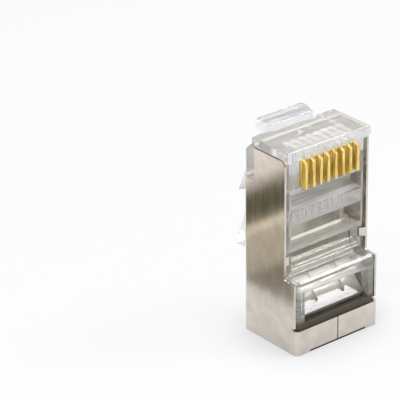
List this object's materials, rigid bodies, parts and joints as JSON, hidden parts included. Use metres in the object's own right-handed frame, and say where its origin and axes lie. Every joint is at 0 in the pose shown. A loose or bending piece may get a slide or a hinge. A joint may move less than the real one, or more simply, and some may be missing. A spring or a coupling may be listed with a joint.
{
  "type": "shielded modular plug",
  "caption": "Shielded modular network plug, not yet crimped: clear body with a folded metal shield, gold contact blades, spring latch and clamp bars.",
  "frame": {"origin": "middle of the cable end's outline on the surface that the plug stands on, latch included in the outline", "axes": "+X along the row of contacts, +Y from the contact side to the latch side, +Z from the cable end to the nose"},
  "size_m": [0.0116, 0.015, 0.0238],
  "materials": {
    "plated_sheet": "bright nickel plate on folded sheet",
    "clear_plastic": "water-clear moulded polycarbonate",
    "gold_contact": "gold plate on stamped blades"
  },
  "bodies": {
    "plug_body": {"housing": "clear_plastic", "shield": "plated_sheet"},
    "latch": {"locking_tab": "clear_plastic"},
    "cable_clamp": {"cable_clamp_bar": "clear_plastic"},
    "conductor_clamp": {"conductor_clamp_bar": "clear_plastic"},
    "blade_1": {"contact_1": "gold_contact"},
    "blade_2": {"contact_2": "gold_contact"},
    "blade_3": {"contact_3": "gold_contact"},
    "blade_4": {"contact_4": "gold_contact"},
    "blade_5": {"contact_5": "gold_contact"},
    "blade_6": {"contact_6": "gold_contact"},
    "blade_7": {"contact_7": "gold_contact"},
    "blade_8": {"contact_8": "gold_contact"}
  },
  "joints": [
    {"name": "latch_press", "type": "hinge", "parent": "plug_body", "child": "latch", "pos_m": [0, 0.00065, 0.02181], "axis": [-1, 0, 0], "range_deg": [0, 14], "stiffness_Nm_per_rad": 0.02},
    {"name": "cable_clamp_fold", "type": "hinge", "parent": "plug_body", "child": "cable_clamp", "pos_m": [0, -0.00632, 0.00386], "axis": [-1, 0, 0], "range_deg": [0, 25]},
    {"name": "conductor_clamp_push", "type": "slide", "parent": "plug_body", "child": "conductor_clamp", "axis": [0, 1, 0], "range_m": [0, 0.0008]},
    {"name": "blade_1_crimp", "type": "slide", "parent": "plug_body", "child": "blade_1", "axis": [0, 1, 0], "range_m": [0, 0.0009]},
    {"name": "blade_2_crimp", "type": "slide", "parent": "plug_body", "child": "blade_2", "axis": [0, 1, 0], "range_m": [0, 0.0009]},
    {"name": "blade_3_crimp", "type": "slide", "parent": "plug_body", "child": "blade_3", "axis": [0, 1, 0], "range_m": [0, 0.0009]},
    {"name": "blade_4_crimp", "type": "slide", "parent": "plug_body", "child": "blade_4", "axis": [0, 1, 0], "range_m": [0, 0.0009]},
    {"name": "blade_5_crimp", "type": "slide", "parent": "plug_body", "child": "blade_5", "axis": [0, 1, 0], "range_m": [0, 0.0009]},
    {"name": "blade_6_crimp", "type": "slide", "parent": "plug_body", "child": "blade_6", "axis": [0, 1, 0], "range_m": [0, 0.0009]},
    {"name": "blade_7_crimp", "type": "slide", "parent": "plug_body", "child": "blade_7", "axis": [0, 1, 0], "range_m": [0, 0.0009]},
    {"name": "blade_8_crimp", "type": "slide", "parent": "plug_body", "child": "blade_8", "axis": [0, 1, 0], "range_m": [0, 0.0009]}
  ]
}
